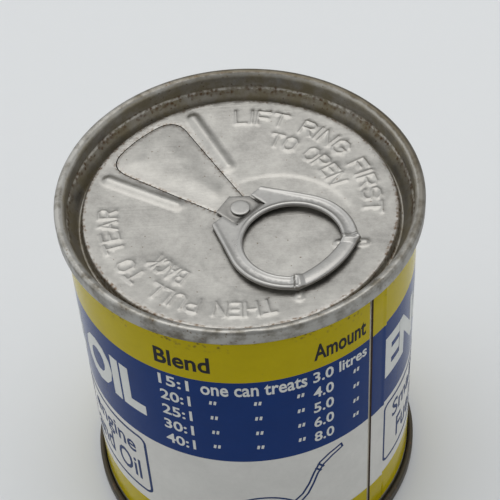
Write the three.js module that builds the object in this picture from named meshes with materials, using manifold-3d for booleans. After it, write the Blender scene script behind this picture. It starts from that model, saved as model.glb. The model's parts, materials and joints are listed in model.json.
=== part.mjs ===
// A small motor oil can: a soldered tinplate body closed by two double-seamed ends. The top end
// is the easy-open kind, with a scored tear panel and a ring pull held by a rivet.
// Millimetres, +Z up, origin at the centre of the base. The front of the can faces -Y.

import * as THREE from 'three';
import { mergeVertices } from 'three/addons/utils/BufferGeometryUtils.js';
import Module from 'manifold-3d';

const wasm = await Module();
wasm.setup();

// Body
const canHeight = 76.2;          // over both double seams
const bodyRadius = 32.8;         // outside of the plain wall
const bodySheet = 0.22;          // tinplate
const lapStart = -48;            // degrees round the can from +X, at the lap's open edge
const lapEnd = -41;              // degrees, where the covered edge shows as a ridge
const lapRise = 0.2;             // how far the lap stands out of the wall
const solderWidth = 2.4;         // inside the lap
const solderThickness = 0.22;
const solderInset = 2;           // solder's ends to the countersinks

// Double seams
const endSheet = 0.25;           // aluminium at the top, tinplate at the bottom
const seamLength = 3.2;          // height of the seam's outer wall
const seamGap = 0.2;             // film of sealing compound between the seam's layers
const chuckGap = 0.1;            // end's wall to the inside of the body
const seamCorner = 0.4;          // bend at the seam's two upper corners, to the sheet's middle
const compoundHeight = 0.25;     // bead of compound over the body's flange
const compoundWidth = 0.5;
const compoundGap = 0.1;

// Panels and countersinks
const panelInset = 3.255;        // end's upright wall to the edge of the panel, both ends
const panelBend = 0.45;          // bend at the panel's edge
const sinkRadius = 0.55;         // bend at the bottom of the countersink
const panelDepth = 4.5;          // seam's top down to the top panel's edge
const panelDish = 1.1;           // how much lower the top panel's centre lies
const sinkDrop = 1.9;            // top panel's edge down to the countersink
const basePanelDepth = 3.1;
const baseSinkDrop = 1.4;
const beadInset = 7.1;           // panel's edge to the middle of the outer expansion bead
const beadPitch = 10;            // outer bead to inner bead
const beadWidth = 3;
const beadDepth = 0.6;

// Tear panel, with u running from the rivet towards the ring and v across
const tabDirection = -47;        // degrees round the can from +X, from the rivet to the ring
const tearInset = 1.5;           // panel's edge to the tear panel's wide end
const tearNeck = 2.4;            // round end about the rivet
const tearFlare = 14;            // degrees each side of the middle line
const tearCorner = 4;            // rounding of the two outer corners
const scoreWidth = 0.2;          // width of the score line round the tear panel
const rivetStem = 1.1;           // radius
const rivetLip = 0.7;            // how far the head reaches past the stem
const rivetHeadHeight = 0.35;

// Ribs and lugs pressed up out of the top end
const ribHeight = 0.45;
const ribWidth = 1.8;
const ribGap = 0.9;              // rib's inner end to the side of the tear panel
const ribStart = 11.25;          // along that side, from the round neck
const ribSpread = 4;             // degrees that a rib turns away from that side
const ribInset = 2.8;            // rib's outer end to the panel's edge
const lugLength = 5.4;
const lugHeight = 0.45;
const lugWidth = 1.7;

// Tongue and ring
const tongueGap = 0.15;          // over the tear panel
const tongueSheet = 0.35;
const tongueNose = -2.8;         // u of the free edge
const tongueRoot = 2;            // u of the edge that bends into the ring
const tongueHalfWidth = 3.4;
const tongueCorner = 1;          // clipped corners of the free edge
const tabGap = 0.3;              // tongue to ring, and ring to lugs
const rivetGap = 0.2;            // rivet stem to the tongue's hole
const headGap = 0.1;             // rivet head over the tongue
const tabWeb = 1.9;              // metal between the tongue's slot and the finger hole
const noseInset = 5.3;           // panel's edge to the ring's finger lift
const noseFlat = 1.4;            // how much the finger lift falls short of the round rim
const creaseAngle = 42;          // degrees each side, where the finger lift begins over the lugs
const ringWidth = 3;
const ringThickness = 1;         // over the curled edges
const ringBevel = 0.25;
const ringLow = 0.35;            // under the shoulders, over the panel's centre
const shoulderBack = -0.8;       // u of the shoulders' tips, where the ring pivots
const shoulderWidth = 3;

const roundSteps = 40;           // facets round the can
const rivetSteps = 24;
const ridgeSlope = 0.6;          // how far ribs and lugs lean in, over their height
const degree = Math.PI / 180;

// Radii to the middle of each layer of the double seam, from the inside out.
const wallMiddle = bodyRadius - bodySheet / 2;
const chuckMiddle = bodyRadius - bodySheet - chuckGap - endSheet / 2;
const coverHook = bodyRadius + seamGap + endSheet / 2;
const bodyHook = coverHook + endSheet / 2 + seamGap + bodySheet / 2;
const coverWall = bodyHook + bodySheet / 2 + seamGap + endSheet / 2;
const bodyHookBend = (bodyHook - wallMiddle) / 2;
const coverHookBend = (coverWall - coverHook) / 2;

// Depths below the seam's flat face.
const flangeDepth = endSheet + compoundHeight + 2 * compoundGap;
const flangeBendDepth = flangeDepth + bodySheet / 2 + bodyHookBend;
const coverBendDepth = seamLength - endSheet / 2 - coverHookBend;

// The panels, and the tab that has to fit on the upper one.
const panelRadius = chuckMiddle - panelInset;
const panelCentreHeight = canHeight - panelDepth - panelDish;
const sinkDepth = panelDepth + sinkDrop;
const baseSinkDepth = basePanelDepth + baseSinkDrop;
const tearReach = panelRadius - tearInset;
const slotRoot = tongueRoot + tabGap;
const slotHalfWidth = tongueHalfWidth + tabGap;
const shoulderHalfWidth = slotHalfWidth + shoulderWidth;
const noseReach = panelRadius - noseInset;
const holeRadius = (noseReach + noseFlat - ringWidth - slotRoot - tabWeb) / 2;
const holeCentre = slotRoot + tabWeb + holeRadius;

function arc(points, centreR, centreZ, radius, fromDegrees, toDegrees, steps) {
  for (let i = 0; i <= steps; i += 1) {
    const angle = (fromDegrees + (toDegrees - fromDegrees) * i / steps) * degree;
    points.push([centreR + radius * Math.cos(angle), centreZ + radius * Math.sin(angle)]);
  }
}

// Turns the middle line of a sheet, given as [radius, height] points, into its closed outline.
function sheetOutline(middle, thickness) {
  const upper = [];
  const lower = [];
  for (let i = 0; i < middle.length; i += 1) {
    const before = middle[Math.max(i - 1, 0)];
    const here = middle[i];
    const after = middle[Math.min(i + 1, middle.length - 1)];
    const inward = new THREE.Vector2(here[0] - before[0], here[1] - before[1]);
    const outward = new THREE.Vector2(after[0] - here[0], after[1] - here[1]);
    if (inward.length() === 0) {
      inward.copy(outward);
    }
    if (outward.length() === 0) {
      outward.copy(inward);
    }
    inward.normalize();
    outward.normalize();
    const along = inward.clone().add(outward).normalize();
    const reach = thickness / 2 / along.dot(outward);
    const side = new THREE.Vector2(-along.y * reach, along.x * reach);
    if (here[0] === 0) {
      side.set(0, thickness / 2);
    }
    upper.push(new THREE.Vector2(here[0] + side.x, here[1] + side.y));
    lower.push(new THREE.Vector2(here[0] - side.x, here[1] - side.y));
  }
  return upper.concat(lower.reverse());
}

// Leaves only positions, joins shared corners, drops collapsed triangles and faces them outwards.
function closedBody(geometry) {
  const bare = new THREE.BufferGeometry();
  bare.setAttribute('position', geometry.getAttribute('position').clone());
  if (geometry.index) {
    bare.setIndex(geometry.index.clone());
  }
  const joined = mergeVertices(bare, 1e-4);
  const position = joined.getAttribute('position');
  const corners = joined.index.array;
  const kept = [];
  let volume = 0;
  const a = new THREE.Vector3();
  const b = new THREE.Vector3();
  const c = new THREE.Vector3();
  for (let i = 0; i < corners.length; i += 3) {
    const [p, q, r] = [corners[i], corners[i + 1], corners[i + 2]];
    if (p !== q && q !== r && r !== p) {
      kept.push(p, q, r);
      a.fromBufferAttribute(position, p);
      b.fromBufferAttribute(position, q);
      c.fromBufferAttribute(position, r);
      volume += a.dot(b.cross(c));
    }
  }
  if (volume < 0) {
    kept.reverse();
  }
  joined.setIndex(kept);
  return joined;
}

function toSolid(geometry) {
  const body = closedBody(geometry);
  const vertProperties = new Float32Array(body.getAttribute('position').array);
  const triVerts = new Uint32Array(body.index.array);
  return new wasm.Manifold(new wasm.Mesh({ numProp: 3, vertProperties, triVerts }));
}

function toGeometry(solid) {
  const mesh = solid.getMesh();
  const geometry = new THREE.BufferGeometry();
  geometry.setAttribute('position', new THREE.BufferAttribute(new Float32Array(mesh.vertProperties), 3));
  geometry.setIndex(Array.from(mesh.triVerts));
  return geometry;
}

function turned(outline, steps = roundSteps) {
  const points = outline.map((point) => point.clone());
  if (points[0].x > 0) {
    points.push(points[0].clone());
  }
  const geometry = new THREE.LatheGeometry(points, steps);
  geometry.rotateX(Math.PI / 2);
  return geometry;
}

function extruded(shape, depth, lowest, curveSteps = 12) {
  const settings = { depth, bevelEnabled: false, curveSegments: curveSteps };
  const geometry = new THREE.ExtrudeGeometry(shape, settings);
  geometry.translate(0, 0, lowest);
  return geometry;
}

// Part of a ring between two radii and two angles, as an upright strip.
function strip(innerRadius, outerRadius, fromDegrees, toDegrees, lowest, highest) {
  const shape = new THREE.Shape();
  shape.absarc(0, 0, outerRadius, fromDegrees * degree, toDegrees * degree, false);
  shape.absarc(0, 0, innerRadius, toDegrees * degree, fromDegrees * degree, true);
  shape.closePath();
  return extruded(shape, highest - lowest, lowest, 3);
}

// Height of the top end's upper surface at a distance from the rivet.
function panelTop(radius) {
  return panelCentreHeight + panelDish * (radius / panelRadius) ** 2;
}

// Middle line of an end, from the axis out to the tip of its cover hook. Heights are negative
// depths below the seam's flat face.
function endMiddle(panel, edgeDepth, deepest) {
  const half = endSheet / 2;
  const points = panel.map(([radius, depth]) => [radius, -(depth + half)]);
  const sinkInner = panelRadius + panelBend;
  const sinkMiddle = sinkInner + sinkRadius;
  arc(points, panelRadius, -(edgeDepth + half + panelBend), panelBend, 90, 0, 2);
  arc(points, sinkMiddle, -(deepest + half - sinkRadius), sinkRadius, 180, 360, 4);
  points.push([chuckMiddle, -seamLength]);
  arc(points, chuckMiddle + seamCorner, -(half + seamCorner), seamCorner, 180, 90, 2);
  arc(points, coverWall - seamCorner, -(half + seamCorner), seamCorner, 90, 0, 2);
  arc(points, bodyHook, -coverBendDepth, coverHookBend, 0, -180, 4);
  points.push([coverHook, -(flangeBendDepth + compoundGap)]);
  return points;
}

function topEndSolid() {
  const rings = 5;
  const panel = [];
  for (let i = 0; i < rings; i += 1) {
    const radius = panelRadius * i / rings;
    panel.push([radius, canHeight - panelTop(radius)]);
  }
  const middle = endMiddle(panel, panelDepth, sinkDepth);
  const outline = sheetOutline(middle, endSheet);
  const geometry = turned(outline);
  geometry.translate(0, 0, canHeight);
  return toSolid(geometry);
}

function bottomEndGeometry() {
  const panel = [[0, basePanelDepth]];
  const outerBead = panelRadius - beadInset;
  for (const radius of [outerBead - beadPitch, outerBead]) {
    panel.push([radius - beadWidth / 2, basePanelDepth]);
    panel.push([radius, basePanelDepth + beadDepth]);
    panel.push([radius + beadWidth / 2, basePanelDepth]);
  }
  const middle = endMiddle(panel, basePanelDepth, baseSinkDepth);
  const outline = sheetOutline(middle.map(([radius, depth]) => [radius, -depth]), endSheet);
  return closedBody(turned(outline));
}

function bodyGeometry() {
  const middle = [];
  const topBend = canHeight - flangeBendDepth;
  middle.push([bodyHook, coverBendDepth]);
  arc(middle, coverHook, flangeBendDepth, bodyHookBend, 0, -180, 4);
  arc(middle, coverHook, topBend, bodyHookBend, 180, 0, 4);
  middle.push([bodyHook, canHeight - coverBendDepth]);
  const wall = toSolid(turned(sheetOutline(middle, bodySheet)));
  const low = seamLength + seamGap;
  const lap = toSolid(strip(wallMiddle, bodyRadius + lapRise, lapStart, lapEnd, low, canHeight - low));
  return toGeometry(wall.add(lap));
}

function solderGeometry() {
  const facetRadius = (bodyRadius - bodySheet) * Math.cos(Math.PI / roundSteps);
  const outer = facetRadius - chuckGap;
  const middle = (lapStart + lapEnd) / 2;
  const halfAngle = solderWidth / 2 / outer / degree;
  const from = middle - halfAngle;
  const to = middle + halfAngle;
  const low = baseSinkDepth + solderInset;
  const high = canHeight - sinkDepth - solderInset;
  return closedBody(strip(outer - solderThickness, outer, from, to, low, high));
}

// The bead sits between the seam's flat face and the body's flange, at the given face height.
function compoundGeometry(faceHeight, intoSeam) {
  const nearest = faceHeight + intoSeam * (endSheet + compoundGap);
  const furthest = nearest + intoSeam * compoundHeight;
  const inner = coverHook - compoundWidth / 2;
  const outer = coverHook + compoundWidth / 2;
  const corners = [[inner, nearest], [outer, nearest], [outer, furthest], [inner, furthest]];
  return closedBody(turned(corners.map(([radius, height]) => new THREE.Vector2(radius, height))));
}

// One straight side of the tear panel: where it leaves the round neck, and which way it runs.
function tearSide(neck) {
  const flare = tearFlare * degree;
  const start = new THREE.Vector2(neck * Math.sin(flare), neck * Math.cos(flare));
  return { start, along: new THREE.Vector2(-Math.cos(flare), Math.sin(flare)) };
}

// The point on a line from a start that lies at a given distance from the rivet.
function pointAtRadius(start, along, radius) {
  const inwards = start.dot(along);
  const run = -inwards + Math.sqrt(inwards ** 2 + radius ** 2 - start.lengthSq());
  return start.clone().addScaledVector(along, run);
}

// Outline of the tear panel, grown or shrunk by a margin: a round neck about the rivet, two
// straight flaring sides and a wide end that follows the panel's edge.
function tearShape(margin) {
  const reach = tearReach + margin;
  const neck = tearNeck + margin;
  const { start, along } = tearSide(neck);
  const corner = pointAtRadius(start, along, reach);
  const before = corner.clone().addScaledVector(along, -tearCorner);
  const cornerAngle = corner.angle() + tearCorner / reach;
  const after = new THREE.Vector2(reach * Math.cos(cornerAngle), reach * Math.sin(cornerAngle));
  const neckAngle = start.angle();
  const shape = new THREE.Shape();
  shape.absarc(0, 0, neck, -neckAngle, neckAngle, false);
  shape.lineTo(before.x, before.y);
  shape.quadraticCurveTo(corner.x, corner.y, after.x, after.y);
  shape.absarc(0, 0, reach, cornerAngle, 2 * Math.PI - cornerAngle, false);
  shape.quadraticCurveTo(corner.x, -corner.y, before.x, -before.y);
  shape.closePath();
  return shape;
}

function tearCutter(margin) {
  const geometry = extruded(tearShape(margin), 2 * panelDish + panelDepth, panelCentreHeight - panelDish);
  geometry.rotateZ(tabDirection * degree);
  return toSolid(geometry);
}

// A low ridge with sloping sides between two points of the panel, rooted inside the sheet.
function ridge(from, to, width, height) {
  const run = from.distanceTo(to);
  const shape = new THREE.Shape();
  shape.absarc(0, 0, width / 2, Math.PI / 2, Math.PI * 1.5, false);
  shape.absarc(run, 0, width / 2, -Math.PI / 2, Math.PI / 2, false);
  shape.closePath();
  const geometry = extruded(shape, height + endSheet / 2, -endSheet / 2, 4);
  const position = geometry.getAttribute('position');
  const crown = 1 - 2 * height * ridgeSlope / width;
  for (let i = 0; i < position.count; i += 1) {
    if (position.getZ(i) > 0) {
      const spine = THREE.MathUtils.clamp(position.getX(i), 0, run);
      position.setX(i, spine + (position.getX(i) - spine) * crown);
      position.setY(i, position.getY(i) * crown);
    }
  }
  const low = panelTop(from.length());
  const high = panelTop(to.length());
  geometry.rotateY(-Math.atan2(high - low, run));
  geometry.rotateZ(to.clone().sub(from).angle());
  geometry.translate(from.x, from.y, low);
  geometry.rotateZ(tabDirection * degree);
  return toSolid(geometry);
}

// Both ends of the stiffening rib beside the tear panel. The side is 1 or -1.
function ribEnds(side) {
  const { start, along } = tearSide(tearNeck + ribGap + ribWidth / 2);
  const inner = start.clone().addScaledVector(along, ribStart);
  const turnedAlong = along.clone().rotateAround(new THREE.Vector2(), -ribSpread * degree);
  const outer = pointAtRadius(inner, turnedAlong, panelRadius - ribInset);
  return [inner, outer].map((point) => new THREE.Vector2(point.x, side * point.y));
}

// Both ends of the lug under one of the ring's creases. The side is 1 or -1.
function lugEnds(side) {
  const middle = holeRadius + ringWidth / 2;
  const half = (lugLength - lugWidth) / 2;
  const angle = side * creaseAngle * degree;
  return [middle - half, middle + half].map((distance) => new THREE.Vector2(
    holeCentre + distance * Math.cos(angle),
    distance * Math.sin(angle),
  ));
}

function topEndGeometry(end) {
  let solid = end.subtract(tearCutter(scoreWidth / 2));
  for (const side of [-1, 1]) {
    solid = solid.add(ridge(...ribEnds(side), ribWidth, ribHeight));
    solid = solid.add(ridge(...lugEnds(side), lugWidth, lugHeight));
  }
  return toGeometry(solid);
}

function tearPanelGeometry(end) {
  const headSeat = panelCentreHeight + tongueGap + tongueSheet + headGap;
  const foot = panelCentreHeight - endSheet / 2;
  const headRadius = rivetStem + rivetLip;
  const outline = [
    [0, headSeat + rivetHeadHeight],
    [headRadius - rivetHeadHeight / 2, headSeat + rivetHeadHeight],
    [headRadius, headSeat + rivetHeadHeight / 2],
    [headRadius, headSeat],
    [rivetStem, headSeat],
    [rivetStem, foot],
    [0, foot],
  ];
  const rivet = turned(outline.map(([radius, height]) => new THREE.Vector2(radius, height)), rivetSteps);
  const sheet = end.intersect(tearCutter(-scoreWidth / 2));
  return toGeometry(sheet.add(toSolid(rivet)));
}

function tongueGeometry() {
  const shape = new THREE.Shape();
  const across = tongueHalfWidth;
  shape.moveTo(tongueRoot, -across);
  shape.lineTo(tongueRoot, across);
  shape.lineTo(tongueNose + tongueCorner, across);
  shape.lineTo(tongueNose, across - tongueCorner);
  shape.lineTo(tongueNose, tongueCorner - across);
  shape.lineTo(tongueNose + tongueCorner, -across);
  shape.closePath();
  const hole = new THREE.Path();
  hole.absarc(0, 0, rivetStem + rivetGap, 0, 2 * Math.PI, false);
  shape.holes.push(hole);
  return closedBody(extruded(shape, tongueSheet, 0));
}

// The flatter arc of the finger lift, which meets a round rim of the given radius at the creases.
function noseArc(radius, reach) {
  const cornerX = holeCentre + radius * Math.cos(creaseAngle * degree);
  const cornerY = radius * Math.sin(creaseAngle * degree);
  const rise = reach - cornerX;
  const arcRadius = (cornerY ** 2 + rise ** 2) / (2 * rise);
  return { centre: reach - arcRadius, radius: arcRadius, half: Math.asin(cornerY / arcRadius) };
}

// The ring's plate: shoulders each side of the tongue, tangent sides, a round rim and the
// flatter finger lift at the far end.
function ringShape() {
  const outerRadius = holeRadius + ringWidth;
  const shoulder = new THREE.Vector2(shoulderBack - holeCentre, shoulderHalfWidth);
  const tangent = shoulder.angle() - Math.acos(outerRadius / shoulder.length());
  const crease = creaseAngle * degree;
  const outer = noseArc(outerRadius, noseReach);
  const inner = noseArc(holeRadius, noseReach - ringWidth);
  const shape = new THREE.Shape();
  shape.moveTo(shoulderBack, -shoulderHalfWidth);
  shape.absarc(holeCentre, 0, outerRadius, -tangent, -crease, false);
  shape.absarc(outer.centre, 0, outer.radius, -outer.half, outer.half, false);
  shape.absarc(holeCentre, 0, outerRadius, crease, tangent, false);
  shape.lineTo(shoulderBack, shoulderHalfWidth);
  shape.lineTo(shoulderBack, slotHalfWidth);
  shape.lineTo(slotRoot, slotHalfWidth);
  shape.lineTo(slotRoot, -slotHalfWidth);
  shape.lineTo(shoulderBack, -slotHalfWidth);
  shape.closePath();
  const hole = new THREE.Path();
  hole.absarc(holeCentre, 0, holeRadius, crease, 2 * Math.PI - crease, false);
  hole.absarc(inner.centre, 0, inner.radius, -inner.half, inner.half, false);
  hole.closePath();
  shape.holes.push(hole);
  return shape;
}

function ringGeometry() {
  const geometry = new THREE.ExtrudeGeometry(ringShape(), {
    depth: ringThickness - 2 * ringBevel,
    bevelThickness: ringBevel,
    bevelSize: ringBevel,
    bevelOffset: -ringBevel,
    bevelSegments: 1,
    curveSegments: 10,
  });
  geometry.translate(-shoulderBack, 0, ringBevel);
  return closedBody(geometry);
}

// The ring leans up just enough for its rim to rest clear of the two lugs.
function ringRise() {
  const [near, far] = lugEnds(1);
  const lugTop = panelTop(far.length()) + lugHeight - panelCentreHeight;
  return Math.atan2(lugTop + tabGap - ringLow, near.x - shoulderBack);
}

function material(color, roughness, metalness) {
  return new THREE.MeshStandardMaterial({ color, roughness, metalness });
}

function piece(name, geometry, finish) {
  const mesh = new THREE.Mesh(geometry, finish);
  mesh.name = name;
  return mesh;
}

const printedTin = material(0x3d5487, 0.4, 0.3);
const plainTin = material(0x9a978f, 0.45, 0.9);
const aluminium = material(0xb4b1a9, 0.42, 0.9);
const solder = material(0x86847e, 0.55, 0.8);
const compound = material(0x4b463f, 0.9, 0);

const end = topEndSolid();
const can = new THREE.Group();
can.add(piece('body_shell', bodyGeometry(), printedTin));
can.add(piece('side_seam_solder', solderGeometry(), solder));
can.add(piece('top_end', topEndGeometry(end), aluminium));
can.add(piece('top_seam_compound', compoundGeometry(canHeight, -1), compound));
can.add(piece('bottom_end', bottomEndGeometry(), plainTin));
can.add(piece('bottom_seam_compound', compoundGeometry(0, 1), compound));
can.add(piece('tear_panel', tearPanelGeometry(end), aluminium));

const tab = new THREE.Group();
tab.rotation.z = tabDirection * degree;
const tongue = piece('tab_tongue', tongueGeometry(), aluminium);
tongue.position.z = panelCentreHeight + tongueGap;
tab.add(tongue);
const ring = piece('pull_ring', ringGeometry(), aluminium);
ring.position.set(shoulderBack, 0, panelCentreHeight + ringLow);
ring.rotation.y = -ringRise();
tab.add(ring);
can.add(tab);

export default can;
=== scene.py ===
import bpy
import bmesh
import json
import math
import numpy as np
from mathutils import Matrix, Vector, geometry, noise


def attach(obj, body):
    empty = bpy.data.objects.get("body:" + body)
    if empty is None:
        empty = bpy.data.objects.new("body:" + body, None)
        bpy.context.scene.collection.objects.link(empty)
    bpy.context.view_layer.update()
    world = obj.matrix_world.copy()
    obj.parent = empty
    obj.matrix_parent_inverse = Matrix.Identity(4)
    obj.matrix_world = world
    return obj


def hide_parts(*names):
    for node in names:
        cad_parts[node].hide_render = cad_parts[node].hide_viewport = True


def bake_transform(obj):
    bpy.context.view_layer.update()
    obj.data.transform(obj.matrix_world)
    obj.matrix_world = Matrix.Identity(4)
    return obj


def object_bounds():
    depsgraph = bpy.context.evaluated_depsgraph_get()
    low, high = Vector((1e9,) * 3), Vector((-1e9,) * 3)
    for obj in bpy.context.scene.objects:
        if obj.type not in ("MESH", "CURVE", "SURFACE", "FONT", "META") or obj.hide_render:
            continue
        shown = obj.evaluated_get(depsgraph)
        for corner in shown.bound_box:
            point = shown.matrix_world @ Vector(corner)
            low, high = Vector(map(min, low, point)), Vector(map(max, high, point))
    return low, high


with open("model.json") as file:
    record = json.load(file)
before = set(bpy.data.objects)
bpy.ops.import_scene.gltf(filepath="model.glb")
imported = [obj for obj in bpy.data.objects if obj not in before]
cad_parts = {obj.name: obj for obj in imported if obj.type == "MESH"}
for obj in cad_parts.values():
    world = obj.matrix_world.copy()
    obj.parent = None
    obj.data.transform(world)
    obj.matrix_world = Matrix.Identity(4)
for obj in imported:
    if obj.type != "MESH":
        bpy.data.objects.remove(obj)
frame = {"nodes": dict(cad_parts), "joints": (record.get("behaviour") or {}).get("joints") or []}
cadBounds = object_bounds()
scene = bpy.context.scene
scene.view_settings.view_transform = "Standard"

# Lengths are in millimetres here and become metres when a mesh is made.
# Angles round the can are degrees to the right of its front, which faces -Y.
mm = 0.001
canHeight = cadBounds[1][2] / mm


# ---------- node helpers ----------

def addNode(tree, kind, settings=None, links=None):
    node = tree.nodes.new(kind)
    for key, value in (settings or {}).items():
        if isinstance(key, int) or key in node.inputs:
            node.inputs[key].default_value = value
        else:
            setattr(node, key, value)
    for key, socket in (links or {}).items():
        tree.links.new(socket, node.inputs[key])
    return node


def reckon(tree, operation, *values):
    # One step of arithmetic. Sockets are linked and numbers are set.
    node = addNode(tree, "ShaderNodeMath", {"operation": operation})
    for i, value in enumerate(values):
        if isinstance(value, bpy.types.NodeSocket):
            tree.links.new(value, node.inputs[i])
        else:
            node.inputs[i].default_value = value
    return node.outputs[0]


def times(tree, *masks):
    result = masks[0]
    for mask in masks[1:]:
        result = reckon(tree, "MULTIPLY", result, mask)
    return result


def remap(tree, value, settings):
    return addNode(tree, "ShaderNodeMapRange", settings, {"Value": value}).outputs[0]


def millimetres(tree):
    # Places on the can, in millimetres.
    coords = addNode(tree, "ShaderNodeTexCoord")
    return addNode(tree, "ShaderNodeVectorMath", {"operation": "SCALE", "Scale": 1 / mm},
                   {0: coords.outputs["Object"]}).outputs[0]


# ---------- camera and light ----------

view = {"place": (0.0, -198.05, 276.21), "turn": (42.3843, 2.609, -3.2274), "lens": 110.49}
lamp = {"place": (40, 150, 760), "size": 620, "power": 1.75, "colour": (1.0, 0.99, 0.97)}
sky = {
    "frontToBack": {"From Min": -0.9, "To Min": 0.40, "From Max": 0.3, "To Max": 0.70}, "sides": 0.36,
    "glowWay": (-0.62, 0.42, 0.66), "glow": {"From Min": 0.55, "To Max": 0.5},
    "colour": (0.97, 0.99, 1.0),
}


def makeCamera():
    camera = bpy.data.objects.new("camera", bpy.data.cameras.new("camera"))
    camera.location = Vector(view["place"]) * mm
    camera.rotation_euler = [math.radians(angle) for angle in view["turn"]]
    camera.data.lens = view["lens"]
    camera.data.sensor_width = 36
    camera.data.clip_start = 0.01
    scene.collection.objects.link(camera)
    scene.camera = camera


def makeLamp():
    data = bpy.data.lights.new("overhead", "AREA")
    data.energy = lamp["power"]
    data.color = lamp["colour"]
    data.size = lamp["size"] * mm
    light = bpy.data.objects.new("overhead", data)
    light.location = Vector(lamp["place"]) * mm
    light.rotation_euler = (-light.location).to_track_quat("-Z", "Y").to_euler()
    scene.collection.objects.link(light)


def makeWorld():
    # An even white tent, dimmer at the front, with a soft glow high at the back left.
    world = bpy.data.worlds.new("studio")
    scene.world = world
    world.use_nodes = True
    tree = world.node_tree
    tree.nodes.clear()
    way = addNode(tree, "ShaderNodeTexCoord").outputs["Generated"]
    split = addNode(tree, "ShaderNodeSeparateXYZ", None, {0: way}).outputs
    front = remap(tree, split["Y"], sky["frontToBack"])
    facing = addNode(tree, "ShaderNodeVectorMath",
                     {"operation": "DOT_PRODUCT", 1: Vector(sky["glowWay"]).normalized()}, {0: way})
    glow = remap(tree, facing.outputs["Value"], {"interpolation_type": "SMOOTHSTEP"} | sky["glow"])
    square = reckon(tree, "MULTIPLY", split["X"], split["X"])
    tent = reckon(tree, "MULTIPLY_ADD", square, sky["sides"], front)
    back = addNode(tree, "ShaderNodeBackground", {"Color": (*sky["colour"], 1)},
                   {"Strength": reckon(tree, "ADD", tent, glow)})
    addNode(tree, "ShaderNodeOutputWorld", None, {0: back.outputs[0]})


makeCamera()
makeLamp()
makeWorld()
print("camera and light ready")


# ---------- shader groups ----------

def newGroup(name, inputs, outputs):
    tree = bpy.data.node_groups.new(name, "ShaderNodeTree")
    for socketName, value in inputs.items():
        socket = tree.interface.new_socket(name=socketName, in_out="INPUT", socket_type="NodeSocketFloat")
        socket.default_value = value
    for socketName in outputs:
        tree.interface.new_socket(name=socketName, in_out="OUTPUT", socket_type="NodeSocketFloat")
    return tree, tree.nodes.new("NodeGroupInput").outputs, tree.nodes.new("NodeGroupOutput").inputs


def makeMetalGrain():
    # Rolled sheet: a fine even grain with long faint lines along X, plus slow cloudiness.
    tree, given, out = newGroup("metalGrain", {"Line Length": 14.0, "Line Pitch": 0.35},
                                ("Height", "Cloud"))
    place = millimetres(tree)
    split = addNode(tree, "ShaderNodeSeparateXYZ", None, {0: place}).outputs
    along = reckon(tree, "DIVIDE", split["X"], given["Line Length"])
    across = reckon(tree, "DIVIDE", split["Y"], given["Line Pitch"])
    rolled = addNode(tree, "ShaderNodeCombineXYZ", None, {0: along, 1: across, 2: split["Z"]})
    lines = addNode(tree, "ShaderNodeTexNoise", {"Scale": 1.0, "Detail": 2.0}, {0: rolled.outputs[0]})
    fine = addNode(tree, "ShaderNodeTexNoise", {"Scale": 2.6, "Detail": 3.0}, {0: place})
    slow = addNode(tree, "ShaderNodeTexNoise", {"Scale": 0.16, "Detail": 6.0, "Roughness": 0.8},
                   {0: place})
    height = addNode(tree, "ShaderNodeMix", {"data_type": "FLOAT", "Factor": 0.5},
                     {2: lines.outputs[0], 3: fine.outputs[0]})
    tree.links.new(height.outputs[0], out["Height"])
    tree.links.new(remap(tree, slow.outputs[0], {"From Min": 0.3, "From Max": 0.7}), out["Cloud"])
    return tree


def makeSpeckle():
    # Scattered specks, such as rust, tar or chipped ink. Spacing is in millimetres.
    tree, given, out = newGroup("speckle", {"Spacing": 2.0, "Size": 0.1, "Share": 0.4}, ("Mask",))
    place = millimetres(tree)
    wobble = addNode(tree, "ShaderNodeTexNoise", {"Scale": 2.2, "Detail": 2.0}, {0: place})
    shift = addNode(tree, "ShaderNodeVectorMath", {"operation": "MULTIPLY_ADD", 1: (0.5, 0.5, 0.5)},
                    {0: wobble.outputs["Color"], 2: place})
    cells = addNode(tree, "ShaderNodeTexVoronoi", None,
                    {"Vector": shift.outputs[0], "Scale": reckon(tree, "DIVIDE", 1.0, given["Spacing"])})
    near = addNode(tree, "ShaderNodeMapRange",
                   {"interpolation_type": "SMOOTHSTEP", "To Min": 1.0, "To Max": 0.0},
                   {"Value": cells.outputs["Distance"], "From Max": given["Size"]})
    split = addNode(tree, "ShaderNodeSeparateColor", None, {0: cells.outputs["Color"]})
    chosen = reckon(tree, "LESS_THAN", split.outputs[0], given["Share"])
    tree.links.new(times(tree, near.outputs[0], chosen), out["Mask"])
    return tree


def makeBand():
    # A ragged band between two distances from the can's axis, or between two heights.
    tree, given, out = newGroup(
        "raggedBand",
        {"Distance": 0.0, "Inner": 0.0, "Outer": 1.0, "Softness": 0.4, "Raggedness": 1.0,
         "Grain Size": 1.5},
        ("Mask",),
    )
    ragged = addNode(tree, "ShaderNodeTexNoise", {"Detail": 4.0, "Roughness": 0.7},
                     {0: millimetres(tree), "Scale": reckon(tree, "DIVIDE", 1.0, given["Grain Size"])})
    centred = reckon(tree, "SUBTRACT", ragged.outputs[0], 0.5)
    shifted = reckon(tree, "MULTIPLY_ADD", centred, given["Raggedness"], given["Distance"])
    edges = []
    for larger, smaller in ((shifted, given["Inner"]), (given["Outer"], shifted)):
        past = reckon(tree, "SUBTRACT", larger, smaller)
        edge = addNode(tree, "ShaderNodeMapRange", {"interpolation_type": "SMOOTHSTEP"},
                       {"Value": past, "From Max": given["Softness"]})
        edges.append(edge.outputs[0])
    tree.links.new(times(tree, *edges), out["Mask"])
    return tree


metalGrain = makeMetalGrain()
speckle = makeSpeckle()
raggedBand = makeBand()
print("shader groups ready")


# ---------- material helpers ----------

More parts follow.
